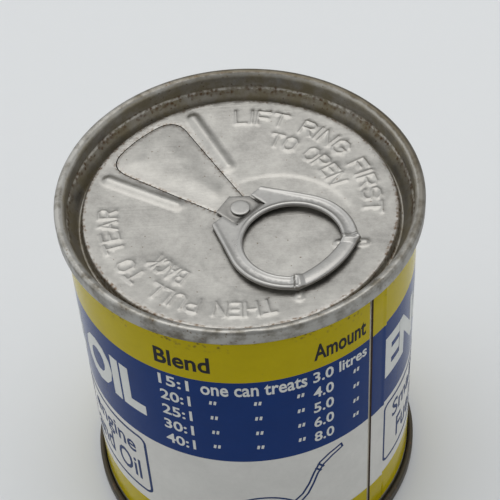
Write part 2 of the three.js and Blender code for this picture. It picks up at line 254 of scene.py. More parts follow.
def newMaterial(name, roughness, metallic):
    material = bpy.data.materials.new(name)
    material.use_nodes = True
    shader = material.node_tree.nodes["Principled BSDF"]
    shader.inputs["Roughness"].default_value = roughness
    shader.inputs["Metallic"].default_value = metallic
    return material, material.node_tree, shader


def placeGroup(tree, group, values, links=None):
    return addNode(tree, "ShaderNodeGroup", {"node_tree": group} | values, links)


def specks(tree, spacing, size, share):
    return placeGroup(tree, speckle, {"Spacing": spacing, "Size": size, "Share": share}).outputs[0]


def band(tree, distance, inner, outer, softness, raggedness, grainSize=1.5):
    values = {"Inner": inner, "Outer": outer, "Softness": softness, "Raggedness": raggedness,
              "Grain Size": grainSize}
    return placeGroup(tree, raggedBand, values, {"Distance": distance}).outputs[0]


def patches(tree, size, low, high, share):
    # Cloudy patches of a size in millimetres, as a mask up to the given share.
    cloud = addNode(tree, "ShaderNodeTexNoise", {"Scale": 1 / size, "Detail": 4.0, "Roughness": 0.62},
                    {0: millimetres(tree)})
    return remap(tree, cloud.outputs[0], {"From Min": low, "From Max": high, "To Max": share})


def axisDistance(tree):
    flat = addNode(tree, "ShaderNodeVectorMath", {"operation": "MULTIPLY", 1: (1, 1, 0)},
                   {0: millimetres(tree)})
    return addNode(tree, "ShaderNodeVectorMath", {"operation": "LENGTH"}, {0: flat.outputs[0]}).outputs[1]


def heightAbove(tree):
    return addNode(tree, "ShaderNodeSeparateXYZ", None, {0: millimetres(tree)}).outputs[2]


def coat(tree, colour, *layers):
    # Lays each (mask, tint) over the colour before it. Tints and colours are tuples or sockets.
    for mask, tint in layers:
        mix = addNode(tree, "ShaderNodeMix", {"data_type": "RGBA"})
        tree.links.new(mask, mix.inputs[0])
        for socket, given in ((mix.inputs[6], colour), (mix.inputs[7], tint)):
            if isinstance(given, tuple):
                socket.default_value = (*given, 1)
            else:
                tree.links.new(given, socket)
        colour = mix.outputs[2]
    return colour


def twoTone(tree, dull, bright, lineLength=14.0, linePitch=0.35):
    grain = placeGroup(tree, metalGrain, {"Line Length": lineLength, "Line Pitch": linePitch}).outputs
    return grain, coat(tree, dull, (grain["Cloud"], bright))


def finish(tree, shader, colour, grain, depth, roughness=None):
    tree.links.new(colour, shader.inputs["Base Color"])
    if roughness:
        rough = remap(tree, grain["Cloud"], {"To Min": roughness[0], "To Max": roughness[1]})
        tree.links.new(rough, shader.inputs["Roughness"])
    if depth:
        bump = addNode(tree, "ShaderNodeBump", {"Strength": 1.0, "Distance": depth * mm},
                       {"Height": grain["Height"]})
        tree.links.new(bump.outputs[0], shader.inputs["Normal"])


def plainFinish(name, tones, roughness, metallic, depth, lines=()):
    material, tree, shader = newMaterial(name, roughness, metallic)
    grain, colour = twoTone(tree, *tones, *lines)
    finish(tree, shader, colour, grain, depth)
    return material


# ---------- materials ----------

lidFinish = {
    "tones": ((0.27, 0.26, 0.243), (0.45, 0.436, 0.408)), "roughness": (0.28, 0.44), "depth": 0.03,
    "rust": (0.10, 0.055, 0.025), "grime": (0.16, 0.126, 0.054), "grimeMetal": 0.45,
    # The glint colour is a painted highlight, laid in pale patches along the chuck wall's knee.
    "paintedGlint": (0.62, 0.60, 0.55), "rimGrey": (0.35, 0.342, 0.32), "rimShare": 0.75,
    # The rim's stain colour serves real stains and also painted shade on the rim's far side.
    "rimStainAndShade": (0.085, 0.07, 0.046), "farShadeWay": (0.6, 0.8, 0.0),
    "farShade": {"From Min": -4, "From Max": 26, "To Max": 0.85},
}
# Each band's inner, outer, softness, raggedness and grain size.
lidBands = {
    "wall": (29.6, 33.0, 0.9, 0.7), "rim": (32.5, 40.0, 0.5, 0.5), "edge": (28.7, 30.1, 0.25, 1.5, 1.2),
    "knee": (72.35, 73.0, 0.25, 0.5, 0.8), "kneeRust": (71.6, 73.3, 0.5, 1.4),
}
# Each patchiness's size, low, high and share.
lidPatches = {
    "dirt": (4.0, 0.25, 0.6, 0.75), "paintedGlint": (1.6, 0.42, 0.55, 0.8), "edge": (7.0, 0.33, 0.5, 0.9),
    "stain": (3.0, 0.42, 0.66, 0.8), "rim": (9.0, 0.46, 0.56, 0.9), "score": (6.0, 0.3, 0.5, 0.9),
}
# Each rust's spacing, size and share of its specks.
lidSpecks = {
    "knee": (0.8, 0.85, 0.7), "edge": (0.7, 0.95, 0.8), "rim": (0.8, 0.38, 0.5),
    "score": (0.6, 0.8, 0.8), "dots": (1.7, 0.12, 0.75),
}


def makeLidMetal():
    material, tree, shader = newMaterial("lidMetal", 0.4, 1.0)
    grain, colour = twoTone(tree, *lidFinish["tones"])
    radius, height = axisDistance(tree), heightAbove(tree)
    wall, rim, edge = (band(tree, radius, *lidBands[name]) for name in ("wall", "rim", "edge"))
    knee, kneeRust = (band(tree, height, *lidBands[name]) for name in ("knee", "kneeRust"))
    cloudy = {name: patches(tree, *numbers) for name, numbers in lidPatches.items()}
    spots = {name: specks(tree, *numbers) for name, numbers in lidSpecks.items()}
    nearScore = addNode(tree, "ShaderNodeAttribute", {"attribute_name": "nearScore"}).outputs["Fac"]
    # Painted shade: the rim grows darker towards its back right, its far side, in the stain colour.
    across = addNode(tree, "ShaderNodeVectorMath",
                     {"operation": "DOT_PRODUCT", 1: lidFinish["farShadeWay"]}, {0: millimetres(tree)})
    farShade = remap(tree, across.outputs["Value"], lidFinish["farShade"])
    dirt = times(tree, wall, cloudy["dirt"])
    rust, stain = lidFinish["rust"], lidFinish["rimStainAndShade"]
    colour = coat(
        tree, colour,
        (dirt, lidFinish["grime"]),
        # Painted highlight: pale patches along the knee of the chuck wall.
        (times(tree, knee, wall, cloudy["paintedGlint"]), lidFinish["paintedGlint"]),
        (times(tree, kneeRust, wall, spots["knee"]), rust),
        (times(tree, edge, spots["edge"], cloudy["edge"]), rust),
        (times(tree, rim, lidFinish["rimShare"]), lidFinish["rimGrey"]),
        # Painted shade on the rim's far side.
        (times(tree, rim, farShade), stain),
        (times(tree, rim, cloudy["stain"]), stain),
        (times(tree, spots["rim"], cloudy["rim"], reckon(tree, "MAXIMUM", rim, wall)), rust),
        (times(tree, nearScore, spots["score"], cloudy["score"]), rust),
        (spots["dots"], rust),
    )
    finish(tree, shader, colour, grain, lidFinish["depth"], lidFinish["roughness"])
    # Grime is matt, so it takes the metal's shine away.
    clean = remap(tree, dirt, {"To Min": 1.0, "To Max": lidFinish["grimeMetal"]})
    tree.links.new(clean, shader.inputs["Metallic"])
    return material


tabFinish = {"lines": (3.0, 0.2), "dots": (1.6, 0.09), "roughness": (0.25, 0.4), "depth": 0.01}


def makeTabMetal(name, tones, dotShare):
    material, tree, shader = newMaterial(name, 0.36, 1.0)
    grain, colour = twoTone(tree, *tones, *tabFinish["lines"])
    colour = coat(tree, colour, (specks(tree, *tabFinish["dots"], dotShare), lidFinish["rust"]))
    finish(tree, shader, colour, grain, tabFinish["depth"], tabFinish["roughness"])
    return material


baseFinish = {
    "tones": ((0.16, 0.145, 0.12), (0.42, 0.40, 0.36)), "depth": 0.02,
    # The rim band's dark brown is painted shade on the bottom seam.
    "rim": (31.0, 36.0, 1.0, 2.0), "seamShade": (0.05, 0.041, 0.027),
    "spots": (1.1, 0.4, 0.5), "rust": (0.12, 0.065, 0.03),
}


def makeBaseTin():
    material, tree, shader = newMaterial("baseTin", 0.45, 0.7)
    grain, colour = twoTone(tree, *baseFinish["tones"])
    colour = coat(tree, colour,
                  # Painted shade: the bottom seam darkened to a dark brown, then rust specks.
                  (band(tree, axisDistance(tree), *baseFinish["rim"]), baseFinish["seamShade"]),
                  (specks(tree, *baseFinish["spots"]), baseFinish["rust"]))
    finish(tree, shader, colour, grain, baseFinish["depth"])
    return material


# Each ink's colour and roughness.
inks = {
    "yellowInk": ((0.44, 0.35, 0.001), 0.16), "blueInk": ((0.006, 0.031, 0.145), 0.16),
    "whiteInk": ((0.62, 0.61, 0.58), 0.16), "navyInk": ((0.016, 0.036, 0.12), 0.35),
    "blackInk": ((0.02, 0.02, 0.022), 0.35), "letterInk": ((0.62, 0.63, 0.61), 0.35),
}
inkFinish = {
    "specular": 0.06, "faded": 0.88, "lines": (0.5, 6.0), "depth": 0.006,
    "worn": (69.0, 80.0, 2.5, 6.0, 5.0), "chips": (0.8, 0.6, 0.6), "wornPatches": (5.0, 0.42, 0.55, 0.95),
    "bare": (0.05, 0.03, 0.025), "dots": (5.0, 0.035, 0.5), "dotColour": (0.06, 0.05, 0.045),
}


def makeInk(name):
    # Varnished ink on tin: faintly cloudy, worn through in specks and scuffs below the top seam.
    ink, roughness = inks[name]
    material, tree, shader = newMaterial(name, roughness, 0.0)
    shader.inputs["Specular IOR Level"].default_value = inkFinish["specular"]
    faded = tuple(channel * inkFinish["faded"] for channel in ink)
    grain, colour = twoTone(tree, faded, ink, *inkFinish["lines"])
    chipped = times(tree, band(tree, heightAbove(tree), *inkFinish["worn"]),
                    specks(tree, *inkFinish["chips"]), patches(tree, *inkFinish["wornPatches"]))
    colour = coat(tree, colour, (chipped, inkFinish["bare"]),
                  (specks(tree, *inkFinish["dots"]), inkFinish["dotColour"]))
    finish(tree, shader, colour, grain, inkFinish["depth"])
    return material


lidMetal = makeLidMetal()
tabMetal = makeTabMetal("tabMetal", ((0.3, 0.292, 0.28), (0.42, 0.41, 0.392)), 0.5)
# The tongue's metal is a darker copy of the tab metal: painted shade, as the tongue is the same sheet.
shadedTongueMetal = makeTabMetal("shadedTongueMetal", ((0.2, 0.192, 0.18), (0.29, 0.28, 0.265)), 0.7)
baseTin = makeBaseTin()
insideTin = plainFinish("insideTin", ((0.45, 0.42, 0.34), (0.62, 0.59, 0.5)), 0.42, 0.85, 0.01, (0.4, 8.0))
bareEdge = plainFinish("bareEdge", ((0.018, 0.008, 0.004), (0.075, 0.035, 0.016)), 0.7, 0.3, 0.03)
inkMaterials = {name: makeInk(name) for name in inks}
print("materials ready")


# ---------- mesh helpers ----------

def makePiece(name, points, faces, materials, body, faceMaterials=None):
    mesh = bpy.data.meshes.new(name)
    mesh.from_pydata((np.asarray(points, float) * mm).tolist(), [], faces)
    for material in materials:
        mesh.materials.append(material)
    if faceMaterials is not None:
        mesh.polygons.foreach_set("material_index", faceMaterials)
    mesh.validate()
    piece = bpy.data.objects.new(name, mesh)
    scene.collection.objects.link(piece)
    mergeClose(piece)
    if body:
        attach(piece, body)
    return piece


def mergeClose(piece):
    work = bmesh.new()
    work.from_mesh(piece.data)
    bmesh.ops.remove_doubles(work, verts=work.verts, dist=0.002 * mm)
    bmesh.ops.recalc_face_normals(work, faces=work.faces)
    work.to_mesh(piece.data)
    work.free()


def sharpen(piece, degrees):
    piece.data.shade_smooth()
    piece.data.set_sharp_from_angle(angle=math.radians(degrees))


def arc(centre, radius, start, end, steps):
    angles = [math.radians(start + (end - start) * i / steps) for i in range(steps + 1)]
    return [(centre[0] + radius * math.cos(a), centre[1] + radius * math.sin(a)) for a in angles]


def revolve(profile, columns, closed=False):
    # Points and quads of an outline of (radius, height) turned about the can's axis.
    points = []
    faces = []
    for azimuth in columns:
        a = math.radians(azimuth)
        points += [(r * math.sin(a), -r * math.cos(a), z) for r, z in profile]
    rows = len(profile)
    for i in range(len(columns)):
        j = (i + 1) % len(columns)
        for k in range(rows if closed else rows - 1):
            n = (k + 1) % rows
            faces.append((i * rows + k, j * rows + k, j * rows + n, i * rows + n))
    return points, faces


def smoothStep(t):
    t = np.clip(t, 0.0, 1.0)
    return t * t * (3 - 2 * t)


def mound(distance, halfWidth):
    # A pressed ridge's rounded section: 1 on the middle line, 0 at the half width.
    t = np.clip(np.abs(distance) / halfWidth, 0.0, 1.0)
    return (1 - t * t) ** 2


def closedRun(line):
    return list(zip(line, line[1:] + line[:1]))


def toSegments(points, segments):
    # Distance from each point to the nearest of the segments, each ((x, y), (x, y)).
    nearest = np.full(len(points), 1e9)
    for start, end in segments:
        a = np.array(start, float)
        run = np.array(end, float) - a
        length = max(run @ run, 1e-12)
        t = np.clip(((points - a) @ run) / length, 0, 1)
        gap = points - a - t[:, None] * run
        nearest = np.minimum(nearest, np.hypot(gap[:, 0], gap[:, 1]))
    return nearest


def inside(points, outline):
    # Which points lie in a closed outline.
    result = np.zeros(len(points), bool)
    x, y = points[:, 0], points[:, 1]
    for (x0, y0), (x1, y1) in closedRun(outline):
        if y0 == y1:
            continue
        crosses = (y0 > y) != (y1 > y)
        result ^= crosses & (x < (x1 - x0) * (y - y0) / (y1 - y0) + x0)
    return result


def hexGrid(low, high, pitch):
    rows = []
    y = low[1]
    odd = False
    while y < high[1]:
        xs = np.arange(low[0] + (pitch / 2 if odd else 0), high[0], pitch)
        rows.append(np.column_stack([xs, np.full(len(xs), y)]))
        y += pitch * math.sqrt(3) / 2
        odd = not odd
    return np.vstack(rows)


def evenly(points, spacing, closed=False):
    # Walks a polyline and returns points a nearly even distance apart, corners kept.
    result = []
    for a, b in closedRun(points) if closed else zip(points, points[1:]):
        count = max(1, round(math.dist(a, b) / spacing))
        result += [(a[0] + (b[0] - a[0]) * i / count, a[1] + (b[1] - a[1]) * i / count)
                   for i in range(count)]
    if not closed:
        result.append(points[-1])
    return result


def rowsAlong(segments, offsets, spacing):
    # Points in rows beside each segment, with fans round its two ends.
    result = []
    for start, end in segments:
        a, b = np.array(start, float), np.array(end, float)
        run = b - a
        length = math.hypot(*run)
        if length < 1e-9:
            continue
        along = run / length
        across = np.array([-along[1], along[0]])
        count = max(1, round(length / spacing))
        for i in range(count + 1):
            spot = a + run * i / count
            result.append(spot)
            for offset in offsets:
                result += [spot + across * offset, spot - across * offset]
        for end0, way in ((a, -along), (b, along)):
            for offset in offsets:
                for turn in (-60, -30, 0, 30, 60):
                    c, s = math.cos(math.radians(turn)), math.sin(math.radians(turn))
                    result.append(end0 + offset * np.array([way[0] * c - way[1] * s,
                                                            way[0] * s + way[1] * c]))
    return np.array(result)


def thinOut(points, spacing):
    # Keeps the first of any points that fall in the same small square.
    keys = np.round(points / spacing).astype(int)
    _, first = np.unique(keys, axis=0, return_index=True)
    return points[np.sort(first)]


def meshBetween(outlines, extra, holes):
    # Triangles over closed outlines and extra points. The first outline is the outer edge, and
    # triangles inside any of the holes are left out.
    points = []
    edges = []
    for outline in outlines:
        first = len(points)
        points += outline
        count = len(outline)
        edges += [(first + i, first + (i + 1) % count) for i in range(count)]
    points += [tuple(p) for p in extra]
    made = geometry.delaunay_2d_cdt([Vector(p) for p in points], edges, [], 0, 1e-4, False)
    flat = np.array([tuple(p) for p in made[0]])
    faces = np.array([tuple(f) for f in made[2]])
    middles = flat[faces].mean(axis=1)
    keep = inside(middles, outlines[0])
    for hole in holes:
        keep &= ~inside(middles, hole)
    return flat, faces[keep]


# ---------- the lid's own directions ----------
# u runs from the rivet towards the ring, v across it to the left. Both start at the can's axis.

ringJoint = next(j for j in frame["joints"] if j["name"] == "ring_lift")
uAxis = (-ringJoint["axis"][1], ringJoint["axis"][0])


def toCan(points):
    points = np.asarray(points, float)
    turned = points.copy()
    turned[:, 0] = points[:, 0] * uAxis[0] - points[:, 1] * uAxis[1]
    turned[:, 1] = points[:, 0] * uAxis[1] + points[:, 1] * uAxis[0]
    return turned


def toLid(points):
    points = np.asarray(points, float)
    turned = points.copy()
    turned[:, 0] = points[:, 0] * uAxis[0] + points[:, 1] * uAxis[1]
    turned[:, 1] = -points[:, 0] * uAxis[1] + points[:, 1] * uAxis[0]
    return turned


columns = [i * 1.5 for i in range(240)]

seam = {
    "wall": 32.69, "chuck": 32.355, "coverHook": 33.125, "bodyHook": 33.56, "cover": 33.995,
    "length": 3.2, "bend": 0.435, "flangeBend": 1.245, "coverBend": 2.64, "compound": 0.1,
    "crown": 33.4, "innerRound": 1.05, "outerRound": 0.6, "coverRows": (1.4, 2.1),
    "panelBend": 0.45, "sinkBend": 0.55, "kneeIn": 0.1, "kneeBelow": 0.25, "kneeAbove": 0.1,
}


def sheetSides(middle, thickness):
    # Both sides of a sheet whose middle line is given: the left side of its direction, then the right.
    m = np.array(middle, float)
    runs = np.diff(m, axis=0)
    runs /= np.hypot(runs[:, 0], runs[:, 1])[:, None]
    before = np.vstack([runs[:1], runs])
    after = np.vstack([runs, runs[-1:]])
    along = before + after
    along /= np.hypot(along[:, 0], along[:, 1])[:, None]
    reach = thickness / 2 / (along * after).sum(axis=1)
    side = np.column_stack([-along[:, 1], along[:, 0]]) * reach[:, None]
    return (m + side).tolist(), (m - side).tolist()


def endRim(edge, depth, sinkDepth, sheet):
    # Middle line of an end from its panel's edge out to the tip of its hook, as (radius, -depth).
    half = sheet / 2
    bend, sink = seam["panelBend"], seam["sinkBend"]
    line = arc((edge, -(depth + half + bend)), bend, 90, 0, 5)
    line += arc((edge + bend + sink, -(sinkDepth + half - sink)), sink, 180, 345, 9)
    line += [(seam["chuck"] - seam["kneeIn"], -seam["length"] - seam["kneeBelow"]),
             (seam["chuck"], -seam["length"] + seam["kneeAbove"])]
    line += arc((seam["crown"], -(half + seam["innerRound"])), seam["innerRound"], 180, 90, 9)
    line += arc((seam["crown"], -(half + seam["outerRound"])), seam["outerRound"], 90, 0, 8)[1:]
    line += [(seam["cover"], -low) for low in seam["coverRows"]]
    line += arc((seam["bodyHook"], -seam["coverBend"]), seam["bend"], 0, -180, 10)
    line += [(seam["coverHook"], -(seam["flangeBend"] + seam["compound"]))]
    return line


# ---------- can body ----------

can = {
    "radius": 32.8, "sheet": 0.22,
    "rows": (4.0, 4.6, 13.0, 20.0, 28.0, 36.7, 45.0, 53.0, 60.9, 66.0, 71.4, 72.4),
    "bands": ((13.0, "yellowInk"), (36.7, "whiteInk"), (60.9, "blueInk"), (80.0, "yellowInk")),
    "lap": ((41.0, 0.0), (41.2, -0.14), (42.0, -0.14), (42.2, 0.18), (42.7, 0.2), (44.0, 0.2),
            (46.0, 0.2), (47.8, 0.2), (48.4, 0.3), (48.9, 0.28), (49.4, 0.0)),
    "gap": (41.0, 42.25), "lapClear": 0.3, "slack": 0.05, "inkDepth": 0.09, "printed": (3.0, 73.4),
}


def bodyFinish(spots):
    # Which finish a face of the body has: 0 plain inside, 1 the lap's bare edge, then the bands.
    x, y, z = spots.mean(axis=0)
    low, high = can["printed"]
    radius = np.hypot(spots[:, 0], spots[:, 1]).mean()
    if radius <= can["radius"] - can["inkDepth"] or not low < z < high:
        return 0
    if can["gap"][0] < math.degrees(math.atan2(x, -y)) < can["gap"][1]:
        return 1
    return 2 + next(i for i, (top, _) in enumerate(can["bands"]) if z < top)


def makeCanBody():
    extra = [azimuth for azimuth, _ in can["lap"]]
    around = sorted(extra + [c for c in columns if min(abs(c - e) for e in extra) > can["lapClear"]])
    bend = seam["bend"]
    middle = [(seam["bodyHook"], seam["coverBend"])]
    middle += arc((seam["coverHook"], seam["flangeBend"]), bend, 0, -180, 8)
    middle += [(seam["wall"], z) for z in can["rows"]]
    middle += arc((seam["coverHook"], canHeight - seam["flangeBend"]), bend, 180, 0, 8)
    middle += [(seam["bodyHook"], canHeight - seam["coverBend"])]
    inner, outer = sheetSides(middle, can["sheet"])
    profile = outer + inner[::-1]
    points, faces = revolve(profile, around, closed=True)
    points = np.array(points)
    azimuths = np.repeat(around, len(profile))
    lift = np.interp(azimuths, [a for a, _ in can["lap"]], [h for _, h in can["lap"]], left=0, right=0)
    z = points[:, 2]
    lift = lift * ((z > can["rows"][1] - can["slack"]) & (z < can["rows"][-2] + can["slack"]))
    radii = np.hypot(points[:, 0], points[:, 1])
    lift[radii < can["radius"] - can["slack"]] = 0
    points[:, :2] *= ((radii + lift) / radii)[:, None]
    materials = [insideTin, bareEdge] + [inkMaterials[name] for _, name in can["bands"]]
    kinds = [bodyFinish(points[list(face)]) for face in faces]
    piece = makePiece("canBody", points, faces, materials, "can", kinds)
    sharpen(piece, 40)
    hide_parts("body_shell")


makeCanBody()


# ---------- top end ----------

strokeFont = {
    "A": (0.70, "0,0 .35,1 .7,0|.13,.36 .57,.36"),
    "B": (0.64, "0,0 0,1 .43,1 .58,.87 .58,.66 .43,.54 0,.54|.43,.54 .63,.4 .63,.14 .46,0 0,0"),
    "C": (0.64, ".64,.8 .48,1 .18,1 0,.8 0,.2 .18,0 .48,0 .64,.2"),
    "E": (0.58, ".58,1 0,1 0,0 .58,0|0,.52 .48,.52"),
    "F": (0.58, ".58,1 0,1 0,0|0,.52 .48,.52"),
    "G": (0.66, ".64,.8 .48,1 .18,1 0,.8 0,.2 .18,0 .48,0 .66,.2 .66,.46 .4,.46"),
    "H": (0.64, "0,0 0,1|.64,0 .64,1|0,.52 .64,.52"),
    "I": (0.06, ".03,0 .03,1"),
    "K": (0.64, "0,0 0,1|.6,1 0,.42|.22,.62 .64,0"),
    "L": (0.54, "0,1 0,0 .54,0"),
    "N": (0.66, "0,0 0,1 .66,0 .66,1"),
    "O": (0.68, ".2,0 .48,0 .68,.22 .68,.78 .48,1 .2,1 0,.78 0,.22 .2,0"),
    "P": (0.62, "0,0 0,1 .45,1 .62,.86 .62,.62 .45,.48 0,.48"),
    "R": (0.64, "0,0 0,1 .45,1 .62,.86 .62,.62 .45,.48 0,.48|.34,.48 .64,0"),
    "S": (0.63, ".62,.84 .45,1 .17,1 0,.86 0,.65 .14,.54 .48,.47 .63,.34 .63,.14 .46,0 .15,0 0,.15"),
    "T": (0.66, "0,1 .66,1|.33,1 .33,0"),
    "U": (0.65, "0,1 0,.2 .18,0 .47,0 .65,.2 .65,1"),
    " ": (0.40, ""),
}

lid = {
    "edge": 29.1, "centre": 70.6, "dish": 1.1, "sheet": 0.25, "depth": 4.5, "sink": 6.4,
    "ribs": (((-9.9, 6.8), (-23.7, 11.35)), ((-9.9, -6.8), (-23.7, -11.35))),
    "ribHalf": 1.85, "ribRise": 0.55,
    "lugCentre": 13.2, "lugAngle": 42, "lugReach": (8.3, 13.1), "lugHalf": 1.0, "lugRise": 0.5,
    "words": (("LIFT RING FIRST", 24.7, 89, 97), ("TO OPEN", 19.5, 69, 54),
              ("THEN PULL TO TEAR", 24.7, -79, 105), ("BACK", 19.5, -124, 22)),
    "letter": 3.2, "letterGap": 0.26, "letterHalf": 0.42, "letterRise": 0.14,
    "recess": ((9.0, 0.0), 15.2, 0.12), "recessStep": 1.0, "recessFaint": 0.3, "recessSide": 12,
    "waves": ((8, 3.0, 0.05), (3.2, 9.0, 0.02)), "quietEdge": 2.5,
}


def wordStrokes(text, radius, start, spread):
    # Strokes of a word along an arc that runs clockwise, the letters' tops towards the rim.
    gap = lid["letterGap"]
    total = sum(strokeFont[c][0] for c in text) + gap * (len(text) - 1)
    stretch = math.radians(spread) * radius / (total * lid["letter"])
    strokes = []
    reach = 0.0
    for c in text:
        width, drawn = strokeFont[c]
        for line in filter(None, drawn.split("|")):
            spots = []
            for pair in line.split():
                x, y = (float(part) for part in pair.split(","))
                along = (reach + x) * lid["letter"] * stretch
                angle = math.radians(start) - along / radius
                r = radius + (y - 0.5) * lid["letter"]
                spots.append((r * math.cos(angle), r * math.sin(angle)))
            spots = [tuple(p) for p in toLid(spots)]
            strokes += list(zip(spots, spots[1:]))
        reach += width + gap
    return strokes


def lugSegments():
    result = []
    for side in (1, -1):
        a = math.radians(lid["lugAngle"])
        result.append(tuple((lid["lugCentre"] + r * math.cos(a), side * r * math.sin(a))
                            for r in lid["lugReach"]))
    return result


letterStrokes = [stroke for words in lid["words"] for stroke in wordStrokes(*words)]


def panelHeight(points):
    # Upper surface of the lid's panel, with all that is pressed into it.
    r = np.hypot(points[:, 0], points[:, 1])
    z = lid["centre"] + lid["dish"] * (r / lid["edge"]) ** 2
    quiet = smoothStep((lid["edge"] - r) / lid["quietEdge"])
    centre, radius, depth = lid["recess"]
    fromRing = np.hypot(points[:, 0] - centre[0], points[:, 1] - centre[1])
    step = smoothStep((radius + lid["recessStep"] / 2 - fromRing) / lid["recessStep"])
    faint = lid["recessFaint"]
    z = z - depth * (faint + (1 - faint) * smoothStep(points[:, 1] / lid["recessSide"])) * quiet * step
    for size, place, rise in lid["waves"]:
        z = z + rise * quiet * np.array([noise.noise(Vector((x / size, y / size, place)))
                                         for x, y in points])
    fromRib = np.clip(toSegments(points, lid["ribs"]) / lid["ribHalf"], 0, 1)
    rib = 0.5 + 0.5 * np.cos(math.pi * fromRib)
    lug = 1 - np.clip(toSegments(points, lugSegments()) / lid["lugHalf"], 0, 1) ** 2
    letters = mound(toSegments(points, letterStrokes), lid["letterHalf"])
    return z + lid["ribRise"] * rib + lid["lugRise"] * lug + lid["letterRise"] * letters


# Each edge drop is how far the metal dips along the score line, and over what width.
tear = {
    "neck": 2.4, "flare": 14, "reach": 27.6, "corner": 4, "gap": 0.08, "crown": 0.28, "crownRun": 5.5,
    "flatRound": 3.2, "flatRun": 4, "lidDrop": (0.07, 0.5), "panelDrop": (0.06, 0.45),
    "rustReach": 0.9, "rustBelow": 0.2,
}


def tearOutline(margin):
    # The tear panel's outline, grown by a margin: round neck, two flaring sides, rounded wide end.
    neck = tear["neck"] + margin
    reach = tear["reach"] + margin
    flare = math.radians(tear["flare"])
    start = np.array([neck * math.sin(flare), neck * math.cos(flare)])
    along = np.array([-math.cos(flare), math.sin(flare)])
    inwards = start @ along
    corner = start + along * (-inwards + math.sqrt(inwards ** 2 + reach ** 2 - start @ start))
    before = corner - along * tear["corner"]
    cornerAngle = math.atan2(corner[1], corner[0]) + tear["corner"] / reach
    after = reach * np.array([math.cos(cornerAngle), math.sin(cornerAngle)])
    neckAngle = math.degrees(math.atan2(start[1], start[0]))
    turn = [(1 - t) ** 2 * before + 2 * t * (1 - t) * corner + t * t * after
            for t in np.linspace(0, 1, 11)]
    wide = math.degrees(cornerAngle)
    line = arc((0, 0), neck, -neckAngle, neckAngle, 16)
    line += [tuple(p) for p in turn]
    line += arc((0, 0), reach, wide, 360 - wide, 24)[1:-1]
    line += [(p[0], -p[1]) for p in reversed(turn)]
    return evenly(line, 0.6, closed=True)


def doubleSkin(flat, faces, top, bottom, loops):
    # Joins an upper and a lower skin over the same flat mesh with walls along its outlines.
    count = len(flat)
    points = np.vstack([np.column_stack([flat, top]), np.column_stack([flat, bottom])])
    allFaces = [tuple(f) for f in faces.tolist()]
    allFaces += [(c + count, b + count, a + count) for a, b, c in faces.tolist()]
    first = 0
    for size, walled in loops:
        if walled:
            for i in range(size):
                a, b = first + i, first + (i + 1) % size
                allFaces.append((a, b, b + count, a + count))
        first += size
    return points, allFaces


def markScore(piece):
    # How near each point is to the score line, for the rust along it.
    line = tearOutline(0)
    flat = toLid(np.array([v.co for v in piece.data.vertices]) / mm)
    gap = toSegments(flat[:, :2], closedRun(line))
    near = (1 - smoothStep(gap / tear["rustReach"])) * (flat[:, 2] > lid["centre"] - tear["rustBelow"])
    marks = piece.data.attributes.new("nearScore", "FLOAT", "POINT")
    marks.data.foreach_set("value", near.astype(np.float32))


def edgeDrop(distance, drop):
    depth, width = drop
    return depth * (1 - smoothStep(distance / width))


nick = {"azimuth": 1.0, "spread": 1.6, "inner": 33.2, "run": 0.7, "below": 1.6, "rise": 1.2,
        "depth": 0.16, "push": 0.004}


def nickRim(points):
    # A small nick in the seam's outer edge, at the front.
    azimuth = np.degrees(np.arctan2(points[:, 0], -points[:, 1]))
    r = np.hypot(points[:, 0], points[:, 1])
    near = np.exp(-((azimuth - nick["azimuth"]) / nick["spread"]) ** 2)
    near *= smoothStep((r - nick["inner"]) / nick["run"])
    near *= smoothStep((points[:, 2] - canHeight + nick["below"]) / nick["rise"])
    points[:, 2] -= nick["depth"] * near
    points[:, :2] *= 1 - nick["push"] * near[:, None]


lidMesh = {
    "reach": 30, "pitch": 0.85, "ridgeRows": (0.3, 0.6, 0.9, 1.3, 1.7, 2.1), "ridgeStep": 0.6,
    "ridgeClear": 2.2, "ridgeThin": 0.2, "letterRows": (0.13, 0.25, 0.38), "letterStep": 0.35,
    "letterClear": 0.6, "letterThin": 0.12, "recessRows": (-0.5, -0.2, 0.1, 0.4),
    "edgeClear": 0.35, "scoreClear": 0.3,
}


def lidSpots(score):
    # Points for the lid's mesh: an even grid, with rows beside everything pressed into it.
    features = list(lid["ribs"]) + lugSegments()
    ridges = rowsAlong(features, lidMesh["ridgeRows"], lidMesh["ridgeStep"])
    letters = rowsAlong(letterStrokes, lidMesh["letterRows"], lidMesh["letterStep"])
    reach = lidMesh["reach"]
    grid = hexGrid((-reach, -reach), (reach, reach), lidMesh["pitch"])
    near = toSegments(grid, letterStrokes) < lidMesh["letterClear"]
    near |= toSegments(grid, features) < lidMesh["ridgeClear"]
    centre, radius, _ = lid["recess"]
    steps = [arc(centre, radius + d, 0, 360, 150)[:-1] for d in lidMesh["recessRows"]]
    spots = np.vstack([thinOut(letters, lidMesh["letterThin"]), thinOut(ridges, lidMesh["ridgeThin"]),
                       np.array(sum(steps, [])), grid[~near]])
    clear = (np.hypot(spots[:, 0], spots[:, 1]) < lid["edge"] - lidMesh["edgeClear"])
    clear &= toSegments(spots, closedRun(score)) > lidMesh["scoreClear"]
    return spots[clear & ~inside(spots, score)]


